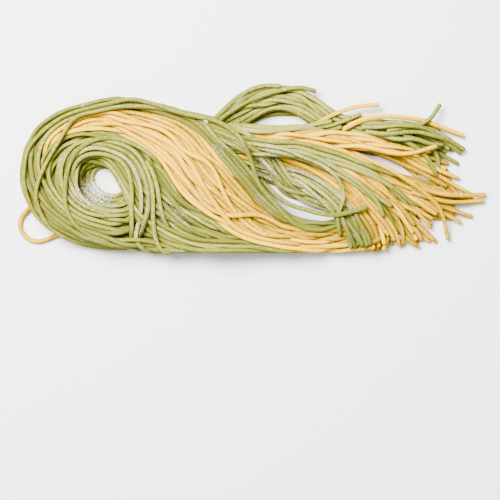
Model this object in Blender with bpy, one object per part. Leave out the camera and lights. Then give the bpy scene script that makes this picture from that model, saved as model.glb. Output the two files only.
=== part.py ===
"""Fresh pasta nest: a hank of green and yellow spaghetti, folded once round an open eye.

The strands run clockwise round the eye, sweep down to the front edge and fan out
into a brush of cut ends on the right. The nest lies flat with its base at z = 0.
One closed body: a low core with the strands that show fused on.
"""
import math
import random
from functools import partial

import bmesh
import bpy
import numpy as np
from mathutils import Vector

MM = 0.001

# Driving dimensions, in millimetres
STRAND_DIAMETER = 2.2
STRAND_SIDES = 5
NEST_CENTRE = (0.11, -0.39)
EYE_CENTRE = (-75.0, -7.5)
EYE_HALF_LENGTH = 13.5
EYE_HALF_WIDTH = 11.0
EYE_TILT = math.radians(-38)
COIL_CENTRE = (-70.0, -1.6)
COIL_HALF_LENGTH = 47.0
COIL_HALF_WIDTH = 38.6
COIL_HEIGHT = 13.5
COIL_CORE_SIDES = 20
COIL_CORE_DIP = 5.0
COIL_CORE_SPAN = (0.035, 0.95)
EYE_FUNNEL = 0.2
CORE_SHARES = (0.0, 0.08, 0.25, 0.5, 0.75, 0.92, 1.0)
CORE_DROP = 1.0
CORE_INSET = 1.3
BASE_CLEARANCE = 0.15

# How finely a strand is cut into straight pieces
MAX_TURN = math.radians(23)
MAX_STEP = 17.0
FINE_STEP = 1.0
SMALLEST_EDGE = 0.003

# Round the eye, clockwise from under the sweep to the top right: degrees, crown height
COIL = ((-52, 6.0), (-70, 8.5), (-95, 12.0), (-130, 13.5), (-160, 13.5), (-190, 13.5),
        (-220, 13.5), (-248, 13.5), (-272, 13.5), (-295, 14.0))
TURN_IN_FROM = 5

# Stations of the sweep: back border, front border, crown height, height at the front
SWEEP = (
    ((-31, 28), (-61.5, -13), 14.0, 12.5),
    ((-19.5, 20), (-59.5, -26), 14.5, 12.0),
    ((-9, 7), (-55.5, -39.5), 14.5, 4.5),
    ((0, -5.5), (-38.5, -41), 14.0, 0.0),
    ((10, -18), (-18.5, -41), 13.0, 0.0),
    ((20, -26), (3, -41), 12.0, 0.0),
    ((33, -29), (24, -41), 11.0, 0.0),
    ((46.5, -27), (43, -39), 9.5, 0.0),
    ((66.5, -22.5), (61.5, -38.5), 7.5, 0.0),
    ((86.5, -17.5), (76.5, -39), 5.5, 0.0),
    ((106, -15), (89, -40), 3.5, 0.0),
)

# The brush of cut ends: back border, two inner points, front border, heights as above
BRUSH = (
    ((-7, 21), (-4.5, 14), (-2, 6.5), (0, -1), 11.0, 0.0),
    ((5, 21), (7, 12.5), (9, 4), (11, -5), 11.5, 0.0),
    ((24, 21.5), (25, 11), (25, 0), (24, -12.5), 11.5, 0.0),
    ((44, 19.5), (46, 7.5), (46.5, -6), (41.5, -21), 11.5, 0.0),
    ((65, 15), (67, 1), (63, -16), (49, -31), 11.0, 0.0),
    ((86.5, 10), (90, -7.5), (76.5, -27.5), (52, -38.5), 9.5, 0.0),
    ((106.5, 5), (117.5, -15), (91.5, -38), (54, -41), 5.0, 0.0),
)

# The lock that arches out behind the brush, as the sweep
ARCH = (
    ((-14, 25), (-11, 19), 8.0, 0.0),
    ((-6, 33), (-1, 24), 8.0, 0.0),
    ((5, 40), (7, 27.5), 8.0, 0.0),
    ((19, 42), (18, 28.5), 8.0, 0.0),
    ((31.5, 37), (28, 24.5), 8.5, 0.0),
    ((43, 27), (36.5, 19), 9.5, 0.0),
    ((56.5, 24), (51.5, 17), 9.5, 0.0),
    ((74, 24), (71.5, 14), 8.5, 0.0),
    ((91.5, 21), (88, 10), 7.0, 0.0),
    ((108, 12), (105, 5), 4.0, 0.0),
)

# Single strands that stray from the locks: x, y, height of the centre line
STRAYS = {
    "front left loop": ((-104, -14, 5), (-113.5, -21, 2), (-117, -27.5, 1.3), (-113.5, -34, 1.3),
                        (-107, -36.5, 1.5), (-98, -33, 2.5)),
    "ridge over the sweep": ((-50, 33, 12), (-26, 26.5, 13), (-10.5, 20, 13.5), (-2, 8.5, 13),
                             (3, -7, 12), (15, -21, 11), (28.5, -30.5, 11), (40, -31, 10)),
    "crossing in the coil": ((-66, 31, 12), (-87.5, 28.5, 13), (-94, 17, 13.5), (-104, 3.5, 12)),
    "loop over the slit": ((9, 10, 11.5), (22, 8, 12.5), (35, 2.5, 12.5), (42.5, -3.5, 12),
                           (45.5, -12, 12), (44.5, -20, 12), (42, -27, 11.5)),
    "arc across the pinch": ((12, -12, 8), (17.5, -17, 9), (28, -21, 11), (42, -23.5, 12.5),
                             (56, -19.5, 12)),
    "front hook": ((-50, -13, 12), (-45.5, -24, 9), (-41, -33, 6), (-38, -39.5, 3),
                   (-41.5, -41, 1.6), (-45.5, -38, 2.5), (-50, -27, 7)),
    "yellow flick": ((36.5, 22, 9), (49, 30.5, 8), (63.5, 32.5, 6)),
    "pale back strand": ((54, 23, 9), (71.5, 26, 8), (86.5, 24, 6), (106.5, 17.5, 2.5)),
    "green back end": ((94.5, 31.5, 3), (91, 25, 5), (87, 18, 6.5)),
    "green front end": ((86, 19, 6), (92, 10, 5), (95, 0, 2.5)),
    "long front strand": ((60.5, 2.5, 11.5), (74.5, -4, 11), (87.5, -12.5, 9), (95, -20.5, 7),
                          (98.5, -34, 2.5)),
    "far end": ((80, -8, 9), (100, -12.5, 6), (118, -12.5, 2.5)),
}

COIL_STRANDS = 12
SIDE_HEIGHTS = (1.3, 3.6)
EYE_STRANDS = ((1.03, 4.5), (1.11, 2.0))
BRUSH_STRANDS = 14
ARCH_STRANDS = 5
UNEVEN = 0.22
SEED = 11
COLOUR = (0.80, 0.72, 0.42, 1.0)
ROUGHNESS = 0.75


def mix(a, b, t):
    return np.asarray(a, float) * (1 - t) + np.asarray(b, float) * t


def smooth_route(points, step=FINE_STEP):
    """A Catmull-Rom curve through the points, read at an even step."""
    p = np.asarray(points, float)
    p = np.vstack([2 * p[0] - p[1], p, 2 * p[-1] - p[-2]])
    t = np.linspace(0, 1, 20, endpoint=False)[:, None]
    runs = []
    for a, b, c, d in zip(p, p[1:], p[2:], p[3:]):
        bend = (2 * a - 5 * b + 4 * c - d) * t ** 2 + (3 * b - 3 * c + d - a) * t ** 3
        runs.append(0.5 * (2 * b + (c - a) * t + bend))
    curve = np.vstack(runs + [p[-2:-1]])
    along = np.concatenate([[0], np.cumsum(np.linalg.norm(np.diff(curve, axis=0), axis=1))])
    reads = np.linspace(0, along[-1], max(3, int(along[-1] / step)))
    return np.stack([np.interp(reads, along, curve[:, k]) for k in range(3)], axis=1)


def thin_out(route):
    """Keep a point where the route has turned or run far enough since the last one."""
    kept = [route[0]]
    turned = 0.0
    run = 0.0
    heading = route[1] - route[0]
    for before, here, after in zip(route, route[1:], route[2:]):
        new_heading = after - here
        cosine = np.dot(heading, new_heading) / np.linalg.norm(heading) / np.linalg.norm(new_heading)
        turned += math.acos(max(-1.0, min(1.0, cosine)))
        run += np.linalg.norm(here - before)
        heading = new_heading
        if turned > MAX_TURN or run > MAX_STEP:
            kept.append(here)
            turned = 0.0
            run = 0.0
    if np.linalg.norm(kept[-1] - route[-1]) < 0.3 * MAX_STEP and len(kept) > 2:
        kept.pop()
    kept.append(route[-1])
    return np.array(kept)


def dome(across):
    """Height of a lock's section, from 0 at its borders to 1 at its crown."""
    return math.sqrt(max(0.0, 1 - abs(2 * across - 1) ** 3.5))


def coil_point(across, angle):
    """A point on the coil, across = 0 on its outer border and 1 at the eye."""
    centre = mix(COIL_CENTRE, EYE_CENTRE, across)
    half_length = mix(COIL_HALF_LENGTH, EYE_HALF_LENGTH, across)
    half_width = mix(COIL_HALF_WIDTH, EYE_HALF_WIDTH, across)
    tilt = EYE_TILT * across
    u = half_length * math.cos(angle - tilt)
    v = half_width * math.sin(angle - tilt)
    x = centre[0] + u * math.cos(tilt) - v * math.sin(tilt)
    y = centre[1] + u * math.sin(tilt) + v * math.cos(tilt)
    return np.array([x, y])


def station_point(station, across):
    """A point on a station of two or more border points, at its share across."""
    points = station[:-2]
    place = min(max(across, 0.0), 1.0) * (len(points) - 1)
    first = min(int(place), len(points) - 2)
    return mix(points[first], points[first + 1], place - first)


def strand_height(crown, front, across, drop=0.0):
    """Height of a centre line: a dome, kept up to the front height past the crown."""
    lowest = STRAND_DIAMETER / 2 + BASE_CLEARANCE
    height = crown * dome(across)
    if across > 0.5:
        height = max(height, mix(crown, front, 2 * across - 1)) if front else height
    return max(lowest, height - STRAND_DIAMETER / 2 - drop)


def lifted(xy, height):
    return (xy[0] - NEST_CENTRE[0], xy[1] - NEST_CENTRE[1], height)


def coil_route(across, across_sweep, stations):
    """A strand that runs round the eye and down the sweep, as far as its last station."""
    points = []
    for number, (degrees, crown) in enumerate(COIL):
        turn_in = max(0.0, (number - TURN_IN_FROM) / (len(COIL) - TURN_IN_FROM))
        share = mix(across, across_sweep, turn_in * turn_in)
        xy = coil_point(share, math.radians(degrees))
        points.append(lifted(xy, strand_height(crown, 0.0, share)))
    return smooth_route(points + net_points(SWEEP, across_sweep, 0, stations))


def net_points(net, across, first, last):
    """The points of a strand at its share across the stations of a net."""
    points = []
    for station in net[first:last]:
        xy = station_point(station, across)
        points.append(lifted(xy, strand_height(station[-2], station[-1], across)))
    return points


def eye_route(across, height):
    """A low strand inside the eye, from the front round to the back."""
    points = []
    for degrees, _ in COIL[1:]:
        points.append(lifted(coil_point(across, math.radians(degrees)), height))
    return smooth_route(points)


def side_route(height):
    """A strand low on the outside of the coil, seen from the side."""
    points = []
    for degrees, _ in COIL[2:]:
        points.append(lifted(coil_point(0.0, math.radians(degrees)), height))
    for station in SWEEP[:3]:
        points.append(lifted(station_point(station, 0.0), height))
    return smooth_route(points)


def new_object(name, vertices, faces, collection):
    mesh = bpy.data.meshes.new(name)
    mesh.from_pydata([tuple(float(c) * MM for c in v) for v in vertices], [], faces)
    mesh.update()
    made = bpy.data.objects.new(name, mesh)
    collection.objects.link(made)
    return made


def tube(name, route, collection):
    """A closed tube of few sides along the route."""
    points = [Vector(p) for p in thin_out(route)]
    vertices = []
    side = Vector((0, 0, 1))
    for number, point in enumerate(points):
        ahead = points[min(number + 1, len(points) - 1)] - points[max(number - 1, 0)]
        ahead.normalize()
        side = (side - ahead * side.dot(ahead)).normalized()
        other = ahead.cross(side)
        for corner in range(STRAND_SIDES):
            angle = 2 * math.pi * corner / STRAND_SIDES
            offset = side * math.cos(angle) + other * math.sin(angle)
            vertices.append(point + offset * STRAND_DIAMETER / 2)
    faces = []
    for ring in range(len(points) - 1):
        for corner in range(STRAND_SIDES):
            a = ring * STRAND_SIDES + corner
            b = ring * STRAND_SIDES + (corner + 1) % STRAND_SIDES
            faces.append((a, b, b + STRAND_SIDES, a + STRAND_SIDES))
    last = (len(points) - 1) * STRAND_SIDES
    faces.append(tuple(reversed(range(STRAND_SIDES))))
    faces.append(tuple(range(last, last + STRAND_SIDES)))
    return new_object(name, vertices, faces, collection)


def loft(name, sections, closed, collection):
    """A closed body through sections of equal point counts, ringed when closed."""
    count = len(sections[0])
    vertices = [v for section in sections for v in section]
    faces = []
    for number in range(len(sections) if closed else len(sections) - 1):
        here = number * count
        there = (number + 1) % len(sections) * count
        for corner in range(count):
            after = (corner + 1) % count
            faces.append((here + corner, here + after, there + after, there + corner))
    if not closed:
        last = (len(sections) - 1) * count
        faces.append(tuple(reversed(range(count))))
        faces.append(tuple(range(last, last + count)))
    return new_object(name, vertices, faces, collection)


def core_section(point_at, crown, front, low_side, high_side, funnel=0.0):
    """A section with a flat base and a domed top, inset from the lock's borders.

    The funnel takes the base further in past its high side than the top.
    """
    section = []
    for share in CORE_SHARES:
        across = low_side + (high_side - low_side) * share
        section.append(lifted(point_at(across), strand_height(crown, front, across, CORE_DROP)))
    section.append(lifted(point_at(high_side + funnel), 0.0))
    section.append(lifted(point_at(low_side), 0.0))
    return section


def coil_core(collection):
    """The ring under the coil, open in the middle for the eye."""
    sections = []
    for step in range(COIL_CORE_SIDES):
        angle = -2 * math.pi * step / COIL_CORE_SIDES
        crown = COIL_HEIGHT - COIL_CORE_DIP * max(0.0, math.cos(angle + math.radians(40))) ** 2
        at_angle = partial(coil_point, angle=angle)
        sections.append(core_section(at_angle, crown, 0.0, *COIL_CORE_SPAN, EYE_FUNNEL))
    return loft("coil core", sections, True, collection)


def net_core(name, net, first, last, collection):
    """The body under a lock that follows a net of stations."""
    sections = []
    for station in net[first:last]:
        width = np.linalg.norm(np.subtract(station[0], station[-3]))
        inset = CORE_INSET / width
        crown, front = station[-2:]
        sections.append(core_section(partial(station_point, station), crown, front, inset, 1 - inset))
    return loft(name, sections, False, collection)


def add_cores(collection):
    base = coil_core(collection)
    net_core("sweep core", SWEEP, 0, 10, collection)
    net_core("brush core", BRUSH, 0, 6, collection)
    net_core("arch core", ARCH, 0, 9, collection)
    return base


def spread_shares(count, draw):
    """Shares across a lock, evenly spread with a little unevenness."""
    return [(number + 0.5 + draw.uniform(-UNEVEN, UNEVEN)) / count for number in range(count)]


def add_coil_strands(collection, draw):
    """Strands round the eye and down the sweep, and two low on the outside."""
    for share in spread_shares(COIL_STRANDS, draw):
        tube("coil strand", coil_route(share, share, draw.choice((8, 9, 10))), collection)
    for height in SIDE_HEIGHTS:
        tube("side strand", side_route(height), collection)
    for across, height in EYE_STRANDS:
        tube("eye strand", eye_route(across, height), collection)


def add_brush_strands(collection, draw):
    """Strands that fan out to the cut ends; those at the front start at the pinch."""
    for share in spread_shares(BRUSH_STRANDS, draw):
        first = 2 if share > 0.7 else 0
        tube("brush strand", smooth_route(net_points(BRUSH, share, first, len(BRUSH))), collection)
    for share in spread_shares(ARCH_STRANDS, draw):
        tube("arch strand", smooth_route(net_points(ARCH, share, 0, len(ARCH))), collection)


def join_all(base, collection):
    """One union of everything in the collection, applied, with its sources removed."""
    collection.objects.unlink(base)
    bpy.context.scene.collection.objects.link(base)
    union = base.modifiers.new("union", "BOOLEAN")
    union.operation = "UNION"
    union.operand_type = "COLLECTION"
    union.collection = collection
    union.solver = "MANIFOLD"
    shaped = base.evaluated_get(bpy.context.evaluated_depsgraph_get())
    joined = bpy.data.meshes.new_from_object(shaped)
    base.modifiers.clear()
    base.data = joined
    for source in list(collection.objects):
        bpy.data.objects.remove(source, do_unlink=True)
    bpy.data.collections.remove(collection)
    return base


def islands(bm):
    """The separate shells of a mesh, as lists of faces."""
    left = set(bm.faces)
    found = []
    while left:
        stack = [left.pop()]
        shell = []
        while stack:
            face = stack.pop()
            shell.append(face)
            for edge in face.edges:
                for other in edge.link_faces:
                    if other in left:
                        left.remove(other)
                        stack.append(other)
        found.append(shell)
    return found


def keep_one_shell(made):
    """Fill what the union sealed and drop loose scraps: only the outer shell stays."""
    bm = bmesh.new()
    bm.from_mesh(made.data)
    shells = sorted(islands(bm), key=len, reverse=True)
    spare = [face for shell in shells[1:] for face in shell]
    bmesh.ops.delete(bm, geom=spare, context="FACES")
    bmesh.ops.dissolve_degenerate(bm, dist=SMALLEST_EDGE * MM, edges=bm.edges)
    bmesh.ops.triangulate(bm, faces=bm.faces)
    bm.to_mesh(made.data)
    bm.free()


def pasta_material():
    material = bpy.data.materials.new("fresh pasta")
    material.use_nodes = True
    shader = material.node_tree.nodes["Principled BSDF"]
    shader.inputs["Base Color"].default_value = COLOUR
    shader.inputs["Roughness"].default_value = ROUGHNESS
    shader.inputs["Metallic"].default_value = 0.0
    return material


def build_nest():
    pieces = bpy.data.collections.new("strands to join")
    bpy.context.scene.collection.children.link(pieces)
    base = add_cores(pieces)
    draw = random.Random(SEED)
    add_coil_strands(pieces, draw)
    add_brush_strands(pieces, draw)
    for name, points in STRAYS.items():
        tube(name, smooth_route([lifted(p, p[2]) for p in points]), pieces)
    nest = join_all(base, pieces)
    keep_one_shell(nest)
    nest.name = "pasta_nest"
    nest.data.name = "pasta_nest"
    nest.data.materials.clear()
    nest.data.materials.append(pasta_material())
    return nest


for leftover in list(bpy.data.objects):
    bpy.data.objects.remove(leftover, do_unlink=True)
build_nest()
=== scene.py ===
"""Looks of the fresh pasta nest: every strand at true size, settled on its neighbours.

The strands follow the same borders as the solid that they stand for: round the eye,
down the sweep and out into the brush of cut ends. Lengths here are in millimetres
until a mesh is made.
"""
import math
from collections import namedtuple

import bpy
import numpy as np
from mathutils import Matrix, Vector


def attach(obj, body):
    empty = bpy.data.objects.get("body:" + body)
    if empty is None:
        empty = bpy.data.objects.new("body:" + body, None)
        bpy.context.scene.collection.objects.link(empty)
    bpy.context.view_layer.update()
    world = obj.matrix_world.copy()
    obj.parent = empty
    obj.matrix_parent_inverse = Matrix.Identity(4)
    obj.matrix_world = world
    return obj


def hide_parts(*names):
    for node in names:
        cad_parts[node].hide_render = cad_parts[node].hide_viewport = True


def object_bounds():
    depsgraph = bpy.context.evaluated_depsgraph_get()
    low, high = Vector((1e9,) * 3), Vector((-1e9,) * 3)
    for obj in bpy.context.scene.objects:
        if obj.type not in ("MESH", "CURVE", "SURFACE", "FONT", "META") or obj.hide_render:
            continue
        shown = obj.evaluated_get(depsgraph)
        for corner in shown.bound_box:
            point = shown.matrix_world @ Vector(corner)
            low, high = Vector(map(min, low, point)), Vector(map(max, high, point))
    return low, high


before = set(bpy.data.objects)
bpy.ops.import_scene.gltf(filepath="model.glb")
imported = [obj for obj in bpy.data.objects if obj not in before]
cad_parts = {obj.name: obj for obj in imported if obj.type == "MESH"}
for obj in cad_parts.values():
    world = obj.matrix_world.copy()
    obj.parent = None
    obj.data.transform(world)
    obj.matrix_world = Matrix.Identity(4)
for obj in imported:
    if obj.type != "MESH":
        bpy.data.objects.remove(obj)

bl_info = {
    "name": "Fresh pasta nest",
    "version": (1, 0, 0),
    "blender": (4, 5, 0),
    "location": "3D View > Sidebar > Pasta nest",
    "description": "Lays, settles and finishes the strands of a folded pasta nest",
    "category": "Object",
}

CAD_BOX = [list(corner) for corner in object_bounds()]
NODE = "pasta_nest"
BODY = "root"
MM = 0.001
NEST_CENTRE = (0.11, -0.39)

# The coil: an outer oval that turns into the smaller, tilted oval of the eye
COIL_CENTRE = (-70.0, -1.6)
COIL_HALF_LENGTH = 46.4
COIL_HALF_WIDTH = 38.2
COIL_ANGLES = (-50, -70, -95, -130, -160, -190, -220, -248, -272, -295)
EYE_CENTRE = (-75.0, -7.5)
EYE_HALF_LENGTH = 13.5
EYE_HALF_WIDTH = 11.0
EYE_TILT = math.radians(-38)
# The outer oval is a little flatter round this angle
DENT_ANGLE = 108
DENT_WIDTH = 20
DENT_DEPTH = 0.07

# Stations of the sweep: back border and front border
SWEEP = (
    ((-31, 28), (-61.5, -13)),
    ((-19.5, 20), (-57.5, -24)),
    ((-9, 7), (-48, -34)),
    ((0, -5.5), (-33, -40)),
    ((10, -18), (-15, -41)),
    ((20, -26), (3, -41)),
    ((33, -29), (24, -41)),
    ((46.5, -27), (43, -39)),
    ((66.5, -22.5), (61.5, -38.5)),
    ((86.5, -17.5), (76.5, -39)),
    ((106, -15), (89, -40)),
)

# Stations of the brush: back border, two inner points, front border
BRUSH = (
    ((-7, 21), (-4.5, 14), (-2, 6.5), (0, -1)),
    ((5, 21), (7, 12.5), (9, 4), (11, -5)),
    ((24, 21.5), (25, 11), (25, 0), (24, -12.5)),
    ((44, 19.5), (46, 7.5), (46.5, -6), (41.5, -21)),
    ((65, 15), (67, 1), (63, -16), (49, -31)),
    ((86.5, 10), (90, -7.5), (76.5, -27.5), (52, -38.5)),
    ((106.5, 5), (117.5, -15), (91.5, -38), (54, -41)),
)

# Stations of the arch behind the brush, and of the short lock that turns off its root
ARCH = (
    ((-14, 25), (-11, 19)),
    ((-6, 33), (-1, 24)),
    ((5, 40), (7, 27.5)),
    ((19, 42), (18, 28.5)),
    ((31.5, 37), (28, 24.5)),
    ((43, 27), (36.5, 19)),
    ((56.5, 24), (51.5, 17)),
    ((74, 24), (71.5, 14)),
    ((91.5, 21), (88, 10)),
    ((108, 12), (105, 5)),
)
TURN = (
    ((-14, 20), (-12, 15.5)),
    ((-4, 17), (-4, 12)),
    ((5, 12.5), (3, 8)),
    ((12, 5), (9, 2)),
    ((16, -3), (12.5, -5)),
    ((22, -7), (18, -10.5)),
    ((33, -10), (30, -14)),
    ((44, -16), (42, -20)),
)

# A lane is the part of a net's width that a lock fills, and its level in the pile
Lane = namedtuple("Lane", "low high level")
CoilLock = namedtuple("CoilLock", "count colour tone lead coil turn sweep pinch ends")
FanLock = namedtuple("FanLock", "count colour tone net start middle end first ends")

COIL_LOCKS = (
    CoilLock(5, "green", 0.3, None, Lane(0.12, 0.62, 0.3), (4.5, 9.5),
             Lane(0.55, 0.97, 0.2), Lane(0.55, 0.95, 0.2), (5.4, 6.6)),
    CoilLock(6, "yellow", 0.3, None, Lane(0.2, 0.6, 1.2), (4.0, 9.5),
             Lane(0.12, 0.5, 0.2), Lane(0.12, 0.97, 0.6), (7.0, 8.0)),
    CoilLock(6, "green", 0.36, (-40, -5), Lane(0.6, 0.92, 1.3), (4.5, 9.5),
             Lane(0.66, 0.96, 0.3), Lane(0.64, 0.97, 1.2), (5.2, 6.4)),
    CoilLock(2, "green", 0.25, (-30, 0), Lane(0.06, 0.3, 0.8), (3.0, 9.5),
             Lane(0.03, 0.08, 0.2), Lane(0.02, 0.15, 1.0), (7, 8.5)),
    CoilLock(9, "green", 0.36, None, Lane(0.42, 0.8, 3.0), (4.5, 9.5),
             Lane(0.56, 0.86, 1.4), Lane(0.66, 0.96, 2.2), (5.2, 6.8)),
    CoilLock(15, "yellow", 0.6, None, Lane(0.14, 0.46, 2.6), (3.0, 9.0),
             Lane(0.08, 0.54, 1.6), Lane(0.05, 0.98, 3.0), (7.2, 8.2)),
    CoilLock(4, "green", 0.26, (-35, -10), Lane(0.2, 0.32, 3.4), (4.6, 8.0),
             Lane(0.15, 0.4, 0.4), Lane(0.1, 0.5, 1.0), (6, 7.6)),
    CoilLock(4, "green", 0.28, (-35, -5), Lane(0.05, 0.28, 3.6), (2.8, 8.0),
             Lane(0.02, 0.05, 2.2), Lane(0.0, 0.1, 3.0), (6.3, 7.6)),
    CoilLock(7, "green", 0.42, None, Lane(0.5, 0.84, 4.2), (5.0, 9.5),
             Lane(0.72, 0.96, 1.8), Lane(0.8, 1.0, 2.6), (4, 6.4)),
    CoilLock(4, "green", 0.32, None, Lane(0.6, 0.8, 3.4), (4.0, 8.5),
             Lane(0.86, 1.0, 2.6), Lane(0.9, 1.0, 1.2), (5, 6.2)),
)

FAN_LOCKS = (
    FanLock(9, "green", 0.5, ARCH, Lane(0.04, 0.96, 1.2), Lane(0.04, 0.96, 1.4), Lane(0.1, 1.0, 1.4),
            -1.0, (7.4, 9.0)),
    FanLock(6, "green", 0.3, ARCH, Lane(0.1, 0.9, 0.2), Lane(0.05, 0.95, 0.4), Lane(0.0, 0.9, 0.2),
            -0.8, (6.5, 9.0)),
    FanLock(9, "yellow", 0.3, BRUSH, Lane(0.36, 0.6, 0.2), Lane(0.42, 0.93, 0.2), Lane(0.34, 0.95, 0.2),
            3.2, (5.0, 5.9)),
    FanLock(9, "yellow", 0.35, BRUSH, Lane(0.34, 0.58, 1.2), Lane(0.42, 0.9, 1.2), Lane(0.36, 0.96, 1.2),
            2.8, (5.0, 6.05)),
    FanLock(3, "green", 0.3, BRUSH, Lane(0.1, 0.24, 0.8), Lane(0.03, 0.08, 0.8), Lane(0.02, 0.1, 0.8),
            -1.2, (3.2, 4.2)),
    FanLock(5, "yellow", 0.4, BRUSH, Lane(0.1, 0.24, 0.8), Lane(0.04, 0.1, 0.8), Lane(0.08, 0.62, 0.6),
            -1.0, (5.0, 5.9)),
    FanLock(3, "green", 0.6, BRUSH, Lane(0.1, 0.16, 2.4), Lane(0.03, 0.07, 1.2), Lane(0.02, 0.08, 1.0),
            -1.2, (3.0, 4.2)),
    FanLock(8, "yellow", 0.72, BRUSH, Lane(0.16, 0.3, 3.2), Lane(0.03, 0.11, 2.8), Lane(0.04, 0.56, 1.8),
            -1.2, (4.8, 5.9)),
    FanLock(3, "green", 0.58, BRUSH, Lane(0.08, 0.15, 4.0), Lane(0.03, 0.07, 0.6), Lane(0.02, 0.1, 0.6),
            -1.2, (2.2, 3.6)),
    FanLock(6, "yellow", 0.45, BRUSH, Lane(0.26, 0.36, 2.2), Lane(0.38, 0.5, 2.2), Lane(0.2, 0.54, 2.0),
            -1.0, (5.1, 6.0)),
    FanLock(9, "yellow", 0.42, BRUSH, Lane(0.26, 0.4, 2.2), Lane(0.44, 0.74, 2.2), Lane(0.45, 0.97, 2.0),
            -1.0, (5.1, 6.1)),
    FanLock(5, "yellow", 0.35, BRUSH, Lane(0.56, 0.68, 0.6), Lane(0.82, 0.95, 1.0), Lane(0.84, 0.98, 0.8),
            2.4, (5.2, 6.0)),
    FanLock(4, "green", 0.55, BRUSH, Lane(0.72, 0.9, 0.3), Lane(0.92, 1.02, 1.4), Lane(0.94, 1.0, 0.8),
            -0.6, (4.2, 4.9)),
    FanLock(8, "green", 0.6, BRUSH, Lane(0.7, 0.99, 1.6), Lane(0.92, 1.05, 3.4), Lane(0.93, 1.04, 3.4),
            -0.6, (4.9, 5.5)),
    FanLock(5, "yellow", 0.8, BRUSH, Lane(0.52, 0.64, 1.4), Lane(0.78, 0.9, 1.8), Lane(0.82, 0.97, 1.6),
            -0.8, (5.2, 6.1)),
    FanLock(4, "yellow", 0.5, BRUSH, Lane(0.26, 0.36, 3.2), Lane(0.4, 0.5, 3.2), Lane(0.22, 0.56, 3.0),
            -0.8, (5.2, 6.0)),
    FanLock(8, "yellow", 0.5, BRUSH, Lane(0.28, 0.4, 3.2), Lane(0.44, 0.8, 3.2), Lane(0.46, 0.96, 3.0),
            -0.6, (5.1, 6.1)),
    FanLock(3, "green", 0.55, BRUSH, Lane(0.3, 0.34, 4.0), Lane(0.42, 0.5, 3.8), Lane(0.48, 0.66, 1.0),
            -1.0, (4.3, 5.5)),
    FanLock(2, "yellow", 0.7, BRUSH, Lane(0.34, 0.38, 1.4), Lane(0.52, 0.58, 4.0), Lane(0.6, 0.74, 3.4),
            -1.0, (5.2, 5.9)),
    FanLock(3, "green", 0.5, BRUSH, Lane(0.37, 0.43, 4.0), Lane(0.6, 0.72, 3.8), Lane(0.7, 0.86, 1.0),
            -1.0, (4.3, 5.5)),
    FanLock(5, "green", 0.5, TURN, Lane(0.0, 1.0, 4.6), Lane(0.0, 1.0, 2.4), Lane(0.0, 1.0, 0.0),
            -0.8, (6.0, 6.8)),
)

# Low turns inside the eye: share across the coil and level, the angles they pass, and their tone
EYE_TURNS = ((0.9, 3.0), (0.94, 2.2), (0.98, 1.4), (1.02, 0.7), (1.05, 0.2))
EYE_ANGLES = range(-5, -370, -30)
EYE_TONE = 0.5
EYE_SPREAD = 0.01
# How far the lowest turn stands off to the back right, so that the front left shows as steps
EYE_SHIFT = (3.0, 2.5)

# Strands that run round the coil and then take a route of their own:
# colour, tone, share across the coil, level, points with their height
ROUTED = (
    ("green", 0.5, 0.87, 4.6, (
        (-65, 4.5, 13), (-60.6, -3, 13.5), (-59.4, -14, 12.5), (-60.6, -29, 8), (-60.5, -40.5, 2.5))),
    ("green", 0.55, 0.82, 4.6, (
        (-64, 6.2, 13), (-58, 0, 14), (-54.6, -10, 14), (-54.6, -20, 12), (-57.6, -31, 7),
        (-57.5, -38, 4), (-53, -40.8, 2), (-44, -41, 1.5), (-31, -40.5, 1.3))),
    ("green", 0.42, 0.77, 4.6, (
        (-63, 8, 13), (-56.5, 2, 14), (-51.6, -8, 14.5), (-50.6, -18, 13), (-54.5, -29, 9),
        (-59.5, -40.4, 2))),
    ("green", 0.5, 0.72, 4.6, (
        (-61, 10, 13), (-55, 4, 13.5), (-51.5, -5, 14), (-50, -14, 13.5), (-49.2, -25, 11),
        (-48, -34, 7), (-45, -40.5, 3.5), (-41.5, -42.6, 1.6), (-38.2, -41.6, 1.8), (-37.6, -38.5, 3.5),
        (-40, -33, 7), (-43.5, -25, 10), (-46, -16, 12), (-48, -7, 11), (-53, 3, 7))),
    ("green", 0.3, 0.66, 3.4, (
        (-58, 10, 8), (-52.5, 0, 8.5), (-50, -10, 8.5), (-47, -20, 7.5), (-43, -29, 6), (-36, -36, 4),
        (-25, -39, 2), (-10, -40.5, 1.3), (6, -40.5, 1.3))),
    ("green", 0.25, 0.7, 3.4, (
        (-60, 8, 8), (-55, -2, 8.5), (-53, -12, 8), (-50.5, -22, 7), (-46.5, -31, 5), (-40, -37, 3),
        (-30, -39.5, 1.5), (-15, -40, 1.2), (0, -40, 1.2))),
    ("green", 0.35, 0.62, 3.6, (
        (-56, 11, 9), (-50, 1, 9.5), (-46.5, -9, 9.5), (-42.5, -19, 9), (-37, -28, 7), (-29, -35, 5),
        (-18, -39.5, 2.5), (-4, -40.5, 1.5), (10, -40.5, 1.3))),
    ("yellow", 0.7, 0.4, 2.6, (
        (-61, 18, 12), (-49, 10, 14), (-38.5, 0.5, 14.5), (-30, -9, 14.5), (-22.5, -18, 14.5),
        (-14.5, -22.6, 14), (-5, -22.8, 14), (1, -22.4, 13), (8, -24.5, 11), (17, -30, 9), (30, -33, 6))),
    ("yellow", 0.8, 0.3, 2.6, (
        (-62, 22.5, 12), (-45, 15, 14), (-34, 7, 14.5), (-29, 1, 14.5), (-23.5, -9, 14.5),
        (-16, -20.5, 14.5), (-8, -30, 13), (3, -35, 10), (16, -37.5, 8), (34, -37, 5))),
    ("yellow", 0.75, 0.3, 2.8, (
        (-64, 24, 12), (-48, 21, 14), (-40, 16, 14.5), (-35, 9, 15), (-28.5, 6, 15), (-22, 3.5, 15),
        (-17, -4, 15), (-13, -14, 14.5), (-4, -26, 13), (7, -33, 10), (20, -35, 8), (36, -34, 5))),
)

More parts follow.
